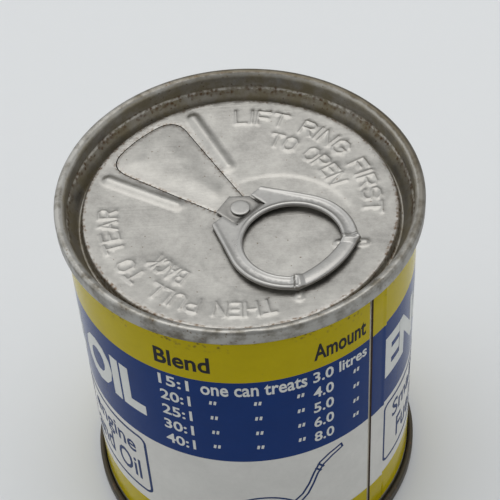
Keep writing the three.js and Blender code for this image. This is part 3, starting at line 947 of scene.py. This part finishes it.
def makeTopEnd():
    rim = [(lid["edge"] * math.sin(math.radians(a)), -lid["edge"] * math.cos(math.radians(a)))
           for a in columns]
    rim = [tuple(p) for p in toLid(rim)]
    score = tearOutline(tear["gap"])
    flat, faces = meshBetween([rim, score], lidSpots(score), [score])
    top = panelHeight(flat) - edgeDrop(toSegments(flat, closedRun(score)), tear["lidDrop"])
    points, allFaces = doubleSkin(flat, faces, top, top - lid["sheet"],
                                  [(len(rim), False), (len(score), True)])
    points = toCan(points)
    middle = endRim(lid["edge"], lid["depth"], lid["sink"], lid["sheet"])
    outer, inner = sheetSides([(r, canHeight + z) for r, z in middle], lid["sheet"])
    outer[0] = [lid["edge"], canHeight - lid["depth"]]
    inner[0] = [lid["edge"], canHeight - lid["depth"] - lid["sheet"]]
    rimPoints, rimFaces = revolve(outer + inner[::-1], columns)
    shift = len(points)
    allFaces += [tuple(i + shift for i in face) for face in rimFaces]
    points = np.vstack([points, np.array(rimPoints)])
    nickRim(points)
    piece = makePiece("topEnd", points, allFaces, [lidMetal], "can")
    markScore(piece)
    sharpen(piece, 50)
    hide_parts("top_end")


makeTopEnd()
print("top end ready")


# ---------- tear panel and rivet ----------

rivet = {
    "head": 1.8, "stem": 1.1, "seat": 71.2, "top": 71.55, "foot": 70.4, "round": 0.16, "turn": 7.5,
    "dome": ((0, 0.02), (1.0, 0.01)), "rimRise": 0.05, "rimIn": 0.06,
}
tearMesh = {"low": (-29, -10), "high": (4, 10), "pitch": 0.6, "rows": (0.2, 0.45), "step": 0.5,
            "thin": 0.15, "gridClear": 0.6, "clear": 0.12}


def makeTearPanel():
    score = tearOutline(-tear["gap"])
    scoreSegments = closedRun(score)
    grid = hexGrid(tearMesh["low"], tearMesh["high"], tearMesh["pitch"])
    near = rowsAlong(scoreSegments, tearMesh["rows"], tearMesh["step"])
    extra = np.vstack([thinOut(near, tearMesh["thin"]),
                       grid[toSegments(grid, scoreSegments) > tearMesh["gridClear"]]])
    extra = extra[inside(extra, score) & (toSegments(extra, scoreSegments) > tearMesh["clear"])]
    flat, faces = meshBetween([score], extra, [])
    toEdge = toSegments(flat, scoreSegments)
    crown = tear["crown"] * smoothStep(toEdge / tear["crownRun"])
    crown *= smoothStep((np.hypot(flat[:, 0], flat[:, 1]) - tear["flatRound"]) / tear["flatRun"])
    top = panelHeight(flat) + crown - edgeDrop(toEdge, tear["panelDrop"])
    points, allFaces = doubleSkin(flat, faces, top, top - lid["sheet"], [(len(score), True)])
    piece = makePiece("tearPanel", toCan(points), allFaces, [lidMetal], "tear_strip")
    markScore(piece)
    sharpen(piece, 50)
    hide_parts("tear_panel")


def makeRivet():
    edge = rivet["round"]
    profile = [(r, rivet["top"] + rise) for r, rise in rivet["dome"]]
    profile += arc((rivet["head"] - edge, rivet["top"] - edge), edge, 90, 0, 5)
    profile += [(rivet["head"], rivet["seat"] + rivet["rimRise"]),
                (rivet["head"] - rivet["rimIn"], rivet["seat"])]
    profile += [(rivet["stem"], rivet["seat"]), (rivet["stem"], rivet["foot"]), (0, rivet["foot"])]
    points, faces = revolve(profile, np.arange(0, 360, rivet["turn"]))
    piece = makePiece("rivetButton", points, faces, [tabMetal], "tear_strip")
    sharpen(piece, 50)


makeTearPanel()
makeRivet()
print("tear panel ready")


# ---------- pull ring and its tongue ----------

ring = {
    "hole": 9.0, "centre": 13.2, "width": 3.0, "nose": 23.8, "crease": 42.0, "back": -0.8,
    "shoulder": 6.7, "slotHalf": 3.7, "slotRoot": 2.9, "pivotHeight": 70.95, "rise": 2.1,
    "roll": 0.5, "crest": 1.0, "web": 0.74, "rollEnd": 1.15, "sheet": 0.3,
    "foldRise": 0.42, "foldHalf": 1.3, "foldSteep": 1.5, "foldAtEdge": 0.6, "noseCrest": 1.08,
    "tip": 0.45, "tipHalf": 1.5, "shoulderCrest": 0.35, "shoulderRun": 6,
    "groove": 0.3, "grooveAt": 0.55, "grooveHalf": 0.2, "grooveRun": 0.3, "edgeRun": 0.2,
    "backDrop": (0.07, 0.16), "step": 0.32,
}


def noseArc(radius, reach):
    # The finger lift's flatter arc, which meets a round rim of this radius at the creases.
    crease = math.radians(ring["crease"])
    x = ring["centre"] + radius * math.cos(crease)
    y = radius * math.sin(crease)
    rise = reach - x
    bow = (y * y + rise * rise) / (2 * rise)
    return (reach - bow, 0), bow, math.degrees(math.asin(y / bow))


def ringLines():
    # Outer rolled edge, plain back edges and the hole, as points in order.
    outerRadius = ring["hole"] + ring["width"]
    back, shoulder = ring["back"], ring["shoulder"]
    away = math.hypot(back - ring["centre"], shoulder)
    tangent = math.degrees(math.atan2(shoulder, back - ring["centre"]) - math.acos(outerRadius / away))
    crease = ring["crease"]
    centre = (ring["centre"], 0)
    outerNose = noseArc(outerRadius, ring["nose"])
    innerNose = noseArc(ring["hole"], ring["nose"] - ring["width"])
    rolled = [(back, -shoulder)]
    rolled += arc(centre, outerRadius, -tangent, -crease, 30)
    rolled += arc(*outerNose[:2], -outerNose[2], outerNose[2], 24)[1:-1]
    rolled += arc(centre, outerRadius, crease, tangent, 30)
    rolled += [(back, shoulder)]
    slotHalf, root = ring["slotHalf"], ring["slotRoot"]
    plain = [(back, shoulder), (back, slotHalf), (root, slotHalf), (root, -slotHalf),
             (back, -slotHalf), (back, -shoulder)]
    corner = np.array([ring["centre"] + outerRadius * math.cos(math.radians(crease)),
                       outerRadius * math.sin(math.radians(crease))])
    outward = (corner - [ring["centre"], 0]) / outerRadius
    rolled = evenly(rolled, ring["step"])
    for i, (x, y) in enumerate(rolled):
        side = 1 if y > 0 else -1
        gap = math.dist((x, side * y), corner) / ring["tipHalf"]
        push = ring["tip"] * max(0.0, 1 - gap)
        rolled[i] = (x + push * outward[0], y + side * push * outward[1])
    hole = arc(centre, ring["hole"], crease, 360 - crease, 72)
    hole += arc(*innerNose[:2], -innerNose[2], innerNose[2], 24)[1:-1]
    return rolled, evenly(plain, ring["step"]), evenly(hole, ring["step"], closed=True)


def placeRing(points):
    # From the ring's own tilted frame, whose pivot is at x 0 and z 0, to the can's.
    rise = math.radians(ring["rise"])
    x, z = points[:, 0] - ring["back"], points[:, 2]
    placed = points.copy()
    placed[:, 0] = ring["back"] + x * math.cos(rise) - z * math.sin(rise)
    placed[:, 2] = ring["pivotHeight"] + x * math.sin(rise) + z * math.cos(rise)
    return toCan(placed)


ringMesh = {
    "low": (-2, -14), "high": (26, 14), "pitch": 0.55,
    "rollRows": (0.04, 0.12, 0.23, 0.36, 0.5, 0.68, 0.88, 1.1), "foldPitch": 0.12,
    "foldCount": 11, "foldStep": 0.25, "backRows": (0.06, 0.16), "thin": 0.035,
    "rollClear": 1.2, "backClear": 0.3, "foldClear": 1.45, "clear": 0.03,
}


def foldLines():
    # The middle line of each fold over a lug, run a little past both edges of the ring.
    folds = []
    for side in (1, -1):
        a = math.radians(ring["crease"]) * side
        folds.append(tuple((ring["centre"] + r * math.cos(a), r * math.sin(a))
                           for r in (ring["hole"] - 1, ring["hole"] + ring["width"] + 1)))
    return folds


def ringSpots(outline, hole, rounded, back):
    # Points for the ring's mesh: an even grid, with rows beside its edges and folds.
    folds = foldLines()
    foldRows = tuple(ringMesh["foldPitch"] * i for i in range(1, ringMesh["foldCount"] + 1))
    rows = rowsAlong(rounded, ringMesh["rollRows"], ring["step"])
    grid = hexGrid(ringMesh["low"], ringMesh["high"], ringMesh["pitch"])
    grid = grid[(toSegments(grid, rounded) > ringMesh["rollClear"])
                & (toSegments(grid, back) > ringMesh["backClear"])
                & (toSegments(grid, folds) > ringMesh["foldClear"])]
    spots = np.vstack([thinOut(rows, ringMesh["thin"]), rowsAlong(folds, foldRows, ringMesh["foldStep"]),
                       rowsAlong(back, ringMesh["backRows"], ring["step"]), grid])
    clear = toSegments(spots, rounded + back) > ringMesh["clear"]
    return spots[clear & inside(spots, outline) & ~inside(spots, hole)]


def ringSkins(flat, outer, holeEdge, back):
    # Heights of the ring's two skins: curled edges round a flat web, folded over the lugs.
    toOuter, toHole = toSegments(flat, outer), toSegments(flat, holeEdge)
    toRoll = np.minimum(toOuter, toHole)
    angle = np.degrees(np.arctan2(np.abs(flat[:, 1]), flat[:, 0] - ring["centre"]))
    onNose = smoothStep((ring["crease"] + 1 - angle) / 3)
    across = (toOuter - toHole) / np.maximum(toOuter + toHole, 1e-6)
    roll, web, faint = ring["roll"], ring["web"], ring["shoulderCrest"]
    bulge = np.sqrt(np.clip(1 - (1 - np.minimum(toRoll / roll, 1)) ** 2, 0, 1))
    sinkIn = smoothStep((toRoll - roll) / (ring["rollEnd"] - roll))
    shoulders = faint + (1 - faint) * smoothStep(flat[:, 0] / ring["shoulderRun"])
    peak = web + (ring["crest"] - web) * np.where(toOuter < toHole, shoulders, 1.0)
    beaded = roll + (peak - roll) * bulge + (web - peak) * sinkIn
    nose = roll + (ring["noseCrest"] - roll) * np.sqrt(np.clip(1 - across ** 2, 0, 1))
    top = beaded + (nose - beaded) * onNose
    under = roll - roll * bulge + (top - ring["sheet"]) * sinkIn
    # The folds are flat-topped ridges, each with a sharp groove on its shoulder side.
    fromFold = (angle - ring["crease"]) * math.radians(ring["hole"] + ring["width"] / 2)
    slope = 1 - np.abs(fromFold) / ring["foldHalf"]
    fold = ring["foldRise"] * np.clip(ring["foldSteep"] * slope, 0, 1)
    groove = ring["groove"] * mound(fromFold - ring["grooveAt"], ring["grooveHalf"])
    groove *= smoothStep(toRoll / ring["grooveRun"])
    low = ring["foldAtEdge"]
    top = top + fold * (low + (1 - low) * smoothStep(toRoll / ring["edgeRun"])) - groove
    return top - edgeDrop(toSegments(flat, back), ring["backDrop"]), under + fold * low


def makeRing():
    rolled, plain, hole = ringLines()
    outline = rolled + plain[1:-1]
    outer, back, holeEdge = list(zip(rolled, rolled[1:])), list(zip(plain, plain[1:])), closedRun(hole)
    extra = ringSpots(outline, hole, outer + holeEdge, back)
    flat, faces = meshBetween([outline, hole], extra, [hole])
    top, under = ringSkins(flat, outer, holeEdge, back)
    points, allFaces = doubleSkin(flat, faces, top, under, [(len(outline), True), (len(hole), True)])
    piece = makePiece("ring", placeRing(points), allFaces, [tabMetal], "pull_tab")
    sharpen(piece, 55)
    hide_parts("pull_ring")


tongue = {
    "outline": [(3.25, -3.4), (-2.95, -3.45), (-3.9, 1.0), (-1.15, 3.62), (3.25, 3.5)],
    "sheet": 0.3, "top": 71.10, "climb": (1.3, 3.2), "climbHeight": 0.68, "hole": 1.3,
    "bendFrom": 1.0, "bendTo": 2.9, "bendHeight": 71, "edgeDrop": (0.06, 0.2),
    "dish": 0.05, "dishAt": 2.3, "dishHalf": 0.6,
}
tongueMesh = {"step": 0.3, "edgeRows": (0.08, 0.2), "holeSteps": 24, "holeRows": (0.3,), "holeStep": 0.4,
              "reach": 4, "gridClear": 0.3, "clear": 0.05, "holeClear": 0.15}


def makeTongue():
    line = evenly(tongue["outline"], tongueMesh["step"], closed=True)
    segments = closedRun(line)
    hole = arc((0, 0), tongue["hole"], 0, 360, tongueMesh["holeSteps"])[:-1]
    around = rowsAlong(closedRun(hole), tongueMesh["holeRows"], tongueMesh["holeStep"])
    near = rowsAlong(segments, tongueMesh["edgeRows"], tongueMesh["step"])
    reach = tongueMesh["reach"]
    grid = hexGrid((-reach, -reach), (reach, reach), tongueMesh["step"])
    extra = np.vstack([near, around, grid[toSegments(grid, segments) > tongueMesh["gridClear"]]])
    extra = extra[inside(extra, line) & ~inside(extra, hole)]
    fromRivet = np.hypot(extra[:, 0], extra[:, 1])
    extra = extra[(toSegments(extra, segments) > tongueMesh["clear"])
                  & (fromRivet > tongue["hole"] + tongueMesh["holeClear"])]
    flat, faces = meshBetween([line, hole], extra, [hole])
    start, stop = tongue["climb"]
    climb = smoothStep((flat[:, 0] - start) / (stop - start)) * tongue["climbHeight"]
    fromRivet = np.hypot(flat[:, 0], flat[:, 1])
    dish = tongue["dish"] * mound(fromRivet - tongue["dishAt"], tongue["dishHalf"])
    top = tongue["top"] + climb - edgeDrop(toSegments(flat, segments), tongue["edgeDrop"]) - dish
    bottom = tongue["top"] - tongue["sheet"] + climb
    points, allFaces = doubleSkin(flat, faces, top, bottom, [(len(line), True), (len(hole), True)])
    # The tongue takes the darker copy of the tab metal, which paints shade on it.
    piece = makePiece("tongue", toCan(points), allFaces, [shadedTongueMetal], None)
    sharpen(piece, 50)
    bend = toCan([(u, 0, tongue["bendHeight"]) for u in (tongue["bendFrom"], tongue["bendTo"])]) * mm
    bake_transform(piece)
    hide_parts("tab_tongue")


makeRing()
makeTongue()
print("ring and tongue ready")


# ---------- bottom end ----------

base = {
    "sheet": 0.25, "depth": 3.1, "sink": 4.5, "beads": (12.0, 22.0), "beadHalf": 1.5,
    "beadDepth": 0.6,
}


def makeBottomEnd():
    line = []
    for r in np.arange(0, lid["edge"] - 0.2, 0.5):
        pressed = base["beadDepth"] * float(sum(mound(r - b, base["beadHalf"]) for b in base["beads"]))
        line.append((float(r), -(base["depth"] + base["sheet"] / 2 + pressed)))
    line += endRim(lid["edge"], base["depth"], base["sink"], base["sheet"])
    outer, inner = sheetSides([(r, -z) for r, z in line], base["sheet"])
    outer[0][0] = 0
    inner[0][0] = 0
    points, faces = revolve(outer + inner[::-1], columns)
    piece = makePiece("bottomEnd", points, faces, [baseTin], "can")
    sharpen(piece, 50)
    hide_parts("bottom_end")


makeBottomEnd()


def finishNode(name, tones, roughness, metallic, depth):
    node = frame["nodes"][name]
    node.data.materials.clear()
    node.data.materials.append(plainFinish(name + "Finish", tones, roughness, metallic, depth, (1.0, 1.0)))


finishNode("side_seam_solder", ((0.3, 0.3, 0.29), (0.5, 0.5, 0.48)), 0.42, 0.9, 0.06)
for seamName in ("top_seam_compound", "bottom_seam_compound"):
    finishNode(seamName, ((0.05, 0.045, 0.04), (0.09, 0.08, 0.07)), 0.75, 0.0, 0.05)
print("bottom end ready")


# ---------- printing on the label ----------
# Every mark is a thin closed solid wrapped round the body. Across is degrees, up is millimetres.

printing = {"under": 0.03, "over": 0.035, "step": 1.5}
perDegree = math.radians(can["radius"])


def flatText(text, across, up, bold=0.0):
    # A word laid flat and scaled to reach between two places across and two heights.
    curve = bpy.data.curves.new("word", "FONT")
    curve.body = text
    curve.offset = bold
    curve.resolution_u = 3
    curve.fill_mode = "BOTH"
    word = bpy.data.objects.new("word", curve)
    scene.collection.objects.link(word)
    graph = bpy.context.evaluated_depsgraph_get()
    mesh = bpy.data.meshes.new_from_object(word.evaluated_get(graph))
    co = np.array([v.co for v in mesh.vertices])
    faces = [tuple(p.vertices) for p in mesh.polygons]
    bpy.data.objects.remove(word)
    bpy.data.curves.remove(curve)
    bpy.data.meshes.remove(mesh)
    low, high = co.min(axis=0), co.max(axis=0)
    x = across[0] + (co[:, 0] - low[0]) / (high[0] - low[0]) * (across[1] - across[0])
    y = up[0] + (co[:, 1] - low[1]) / (high[1] - low[1]) * (up[1] - up[0])
    return np.column_stack([x * perDegree, y]), faces


def flatStrip(line, half, closed=False):
    # A line of even width, as quads with square corners.
    p = np.array([(x * perDegree, y) for x, y in line], float)
    if closed:
        p = np.vstack([p, p[:1]])
    runs = np.diff(p, axis=0)
    runs /= np.hypot(runs[:, 0], runs[:, 1])[:, None]
    before = np.vstack([runs[-1:] if closed else runs[:1], runs])
    after = np.vstack([runs, runs[:1] if closed else runs[-1:]])
    along = before + after
    along /= np.hypot(along[:, 0], along[:, 1])[:, None]
    side = np.column_stack([-along[:, 1], along[:, 0]])
    side *= (half / np.maximum((along * after).sum(axis=1), 0.35))[:, None]
    count = len(p)
    faces = [(i, i + 1, count + i + 1, count + i) for i in range(count - 1)]
    return np.vstack([p + side, p - side]), faces


def printMarks(name, marks, ink):
    work = bmesh.new()
    for points, faces in marks:
        spots = [work.verts.new((x, y, 0)) for x, y in points]
        for face in faces:
            if len(set(face)) > 2:
                work.faces.new([spots[i] for i in face])
    bmesh.ops.remove_doubles(work, verts=work.verts, dist=1e-4)
    xs = [v.co.x for v in work.verts]
    step = printing["step"] * perDegree
    for i in range(math.ceil(min(xs) / step), math.floor(max(xs) / step) + 1):
        everything = work.verts[:] + work.edges[:] + work.faces[:]
        bmesh.ops.bisect_plane(work, geom=everything, dist=1e-5, plane_co=(i * step, 0, 0),
                               plane_no=(1, 0, 0))
    bmesh.ops.recalc_face_normals(work, faces=work.faces)
    for face in work.faces:
        if face.normal.z < 0:
            face.normal_flip()
    flat = bpy.data.meshes.new(name + "Flat")
    work.to_mesh(flat)
    work.free()
    co = np.array([v.co for v in flat.vertices])
    faces = [tuple(p.vertices) for p in flat.polygons]
    edges = {}
    for face in faces:
        for a, b in zip(face, face[1:] + face[:1]):
            edges[(a, b)] = edges.get((a, b), 0) + 1
    bpy.data.meshes.remove(flat)
    count = len(co)
    shells = []
    for radius in (can["radius"] + printing["over"], can["radius"] - printing["under"]):
        a = np.radians(co[:, 0] / perDegree)
        shells.append(np.column_stack([radius * np.sin(a), -radius * np.cos(a), co[:, 1]]))
    closed = list(faces) + [tuple(i + count for i in reversed(face)) for face in faces]
    closed += [(b, a, a + count, b + count) for a, b in edges if (b, a) not in edges]
    piece = makePiece(name, np.vstack(shells), closed, [inkMaterials[ink]], "can")
    sharpen(piece, 40)


rows = (("15:1", "3.0"), ("20:1", "4.0"), ("25:1", "5.0"), ("30:1", "6.0"), ("40:1", "8.0"))
label = {
    "rowTop": 58.5, "rowPitch": 4.5, "rowHalf": 1.48,
    "ratio": (-31.0, -20.5), "phrase": (-16.7, 17.2), "amount": (19.2, 26.4), "unit": (28.5, 39.7),
    "ditto": (-13.0, 1.2, 15.0, 35.4),
    "heads": (("Blend", (-31.4, -13.0)), ("Amount", (19.7, 39.2))), "headUp": (63.2, 67.6),
    "title": ((-143.0, -38.0), (49.3, 154.3)), "titleUp": (44.0, 56.0),
    "boxes": ((-104.0, -41.4), (50.0, 112.6)), "boxUp": (16.2, 34.8), "boxLine": 0.32, "boxCorner": 1.6,
    "boxWords": (("Small engine", 5.5, 5, (26.2, 32.8)), ("Fuel and Oil", 9, 4, (19.2, 25.8))),
    "bold": {"small": 0.018, "head": 0.022, "title": 0.05, "box": 0.01}, "tail": 0.1,
    "dittoApart": 0.7, "dittoLean": 0.3, "dittoRise": (1.2, 0.2), "dittoHalf": 0.24, "drawn": 0.22,
}


# A plain long-spouted oiler, drawn in lines, with its dome as half an oval.
dome = {"middle": 0.5, "half": 15.5, "base": 14.4, "rise": 9.8, "points": 40}
domeLine = tuple((dome["middle"] - dome["half"] * math.cos(t), dome["base"] + dome["rise"] * math.sin(t))
                 for t in np.linspace(0, math.pi, dome["points"]))
oiler = (
    domeLine,
    ((11.6, 21.5), (14.4, 23.2), (16.8, 26.0), (18.6, 29.0), (20.9, 31.9), (24.5, 33.5), (29.0, 34.7)),
    ((14.0, 20.9), (16.4, 22.8), (18.4, 25.6), (20.0, 28.4), (22.3, 30.8), (25.6, 32.4), (29.7, 33.7)),
    ((29.0, 34.9), (29.7, 33.5)), ((20.2, 31.6), (22.4, 30.0)), ((19.2, 30.4), (21.4, 29.0)),
    ((-15.0, 14.4), (16.0, 14.4)), ((-13.4, 18.8), (14.4, 18.8)),
    ((-14.4, 18.4), (-18.6, 18.6), (-20.6, 17.0), (-19.8, 15.2), (-15.0, 14.9)),
)


def dittoMark(across, height):
    high, low = (height + rise for rise in label["dittoRise"])
    return [flatStrip([(at, high), (at - label["dittoLean"], low)], label["dittoHalf"])
            for at in (across - label["dittoApart"], across + label["dittoApart"])]


def roundedBox(across, up, corner):
    reach = corner / perDegree
    line = []
    for x, y, start in ((across[1], up[1], 0), (across[0], up[1], 90), (across[0], up[0], 180),
                        (across[1], up[0], 270)):
        cx = x - reach if start in (0, 270) else x + reach
        cy = y - corner if start in (0, 90) else y + corner
        for t in range(0, 91, 18):
            a = math.radians(start + t)
            line.append((cx + reach * math.cos(a), cy + corner * math.sin(a)))
    return line


def printTable():
    marks = []
    bold = label["bold"]["small"]
    for i, (ratio, amount) in enumerate(rows):
        middle = label["rowTop"] - i * label["rowPitch"]
        up = (middle - label["rowHalf"], middle + label["rowHalf"])
        marks.append(flatText(ratio, label["ratio"], up, bold))
        marks.append(flatText(amount, label["amount"], up, bold))
        if i == 0:
            marks.append(flatText("one can treats", label["phrase"], (up[0] - label["tail"], up[1]), bold))
            marks.append(flatText("litres", label["unit"], up, bold))
        else:
            for across in label["ditto"]:
                marks += dittoMark(across, middle)
    printMarks("tableText", marks, "letterInk")


def printLabel():
    printTable()
    bold = label["bold"]
    heads = [flatText(word, across, label["headUp"], bold["head"]) for word, across in label["heads"]]
    printMarks("headText", heads, "blackInk")
    for side, across in zip("LR", label["title"]):
        title = flatText("ENGINE OIL", across, label["titleUp"], bold["title"])
        printMarks("titleText" + side, [title], "letterInk")
    boxes = []
    for left, right in label["boxes"]:
        outline = roundedBox((left, right), label["boxUp"], label["boxCorner"])
        boxes.append(flatStrip(outline, label["boxLine"], True))
        for words, before, after, up in label["boxWords"]:
            boxes.append(flatText(words, (left + before, right - after), up, bold["box"]))
    printMarks("boxPrint", boxes, "navyInk")
    printMarks("oilerPicture", [flatStrip(line, label["drawn"]) for line in oiler], "navyInk")


printLabel()
print("label ready")


# ---------- floor ----------

def makeFloor():
    paper = plainFinish("paper", ((0.66, 0.67, 0.68), (0.665, 0.675, 0.685)), 0.9, 0.0, 0.0, (1.0, 1.0))
    mesh = bpy.data.meshes.new("floor")
    mesh.from_pydata([(-3, -3, 0), (3, -3, 0), (3, 3, 0), (-3, 3, 0)], [], [(0, 1, 2, 3)])
    mesh.materials.append(paper)
    floor = bpy.data.objects.new("floor", mesh)
    scene.collection.objects.link(floor)


makeFloor()
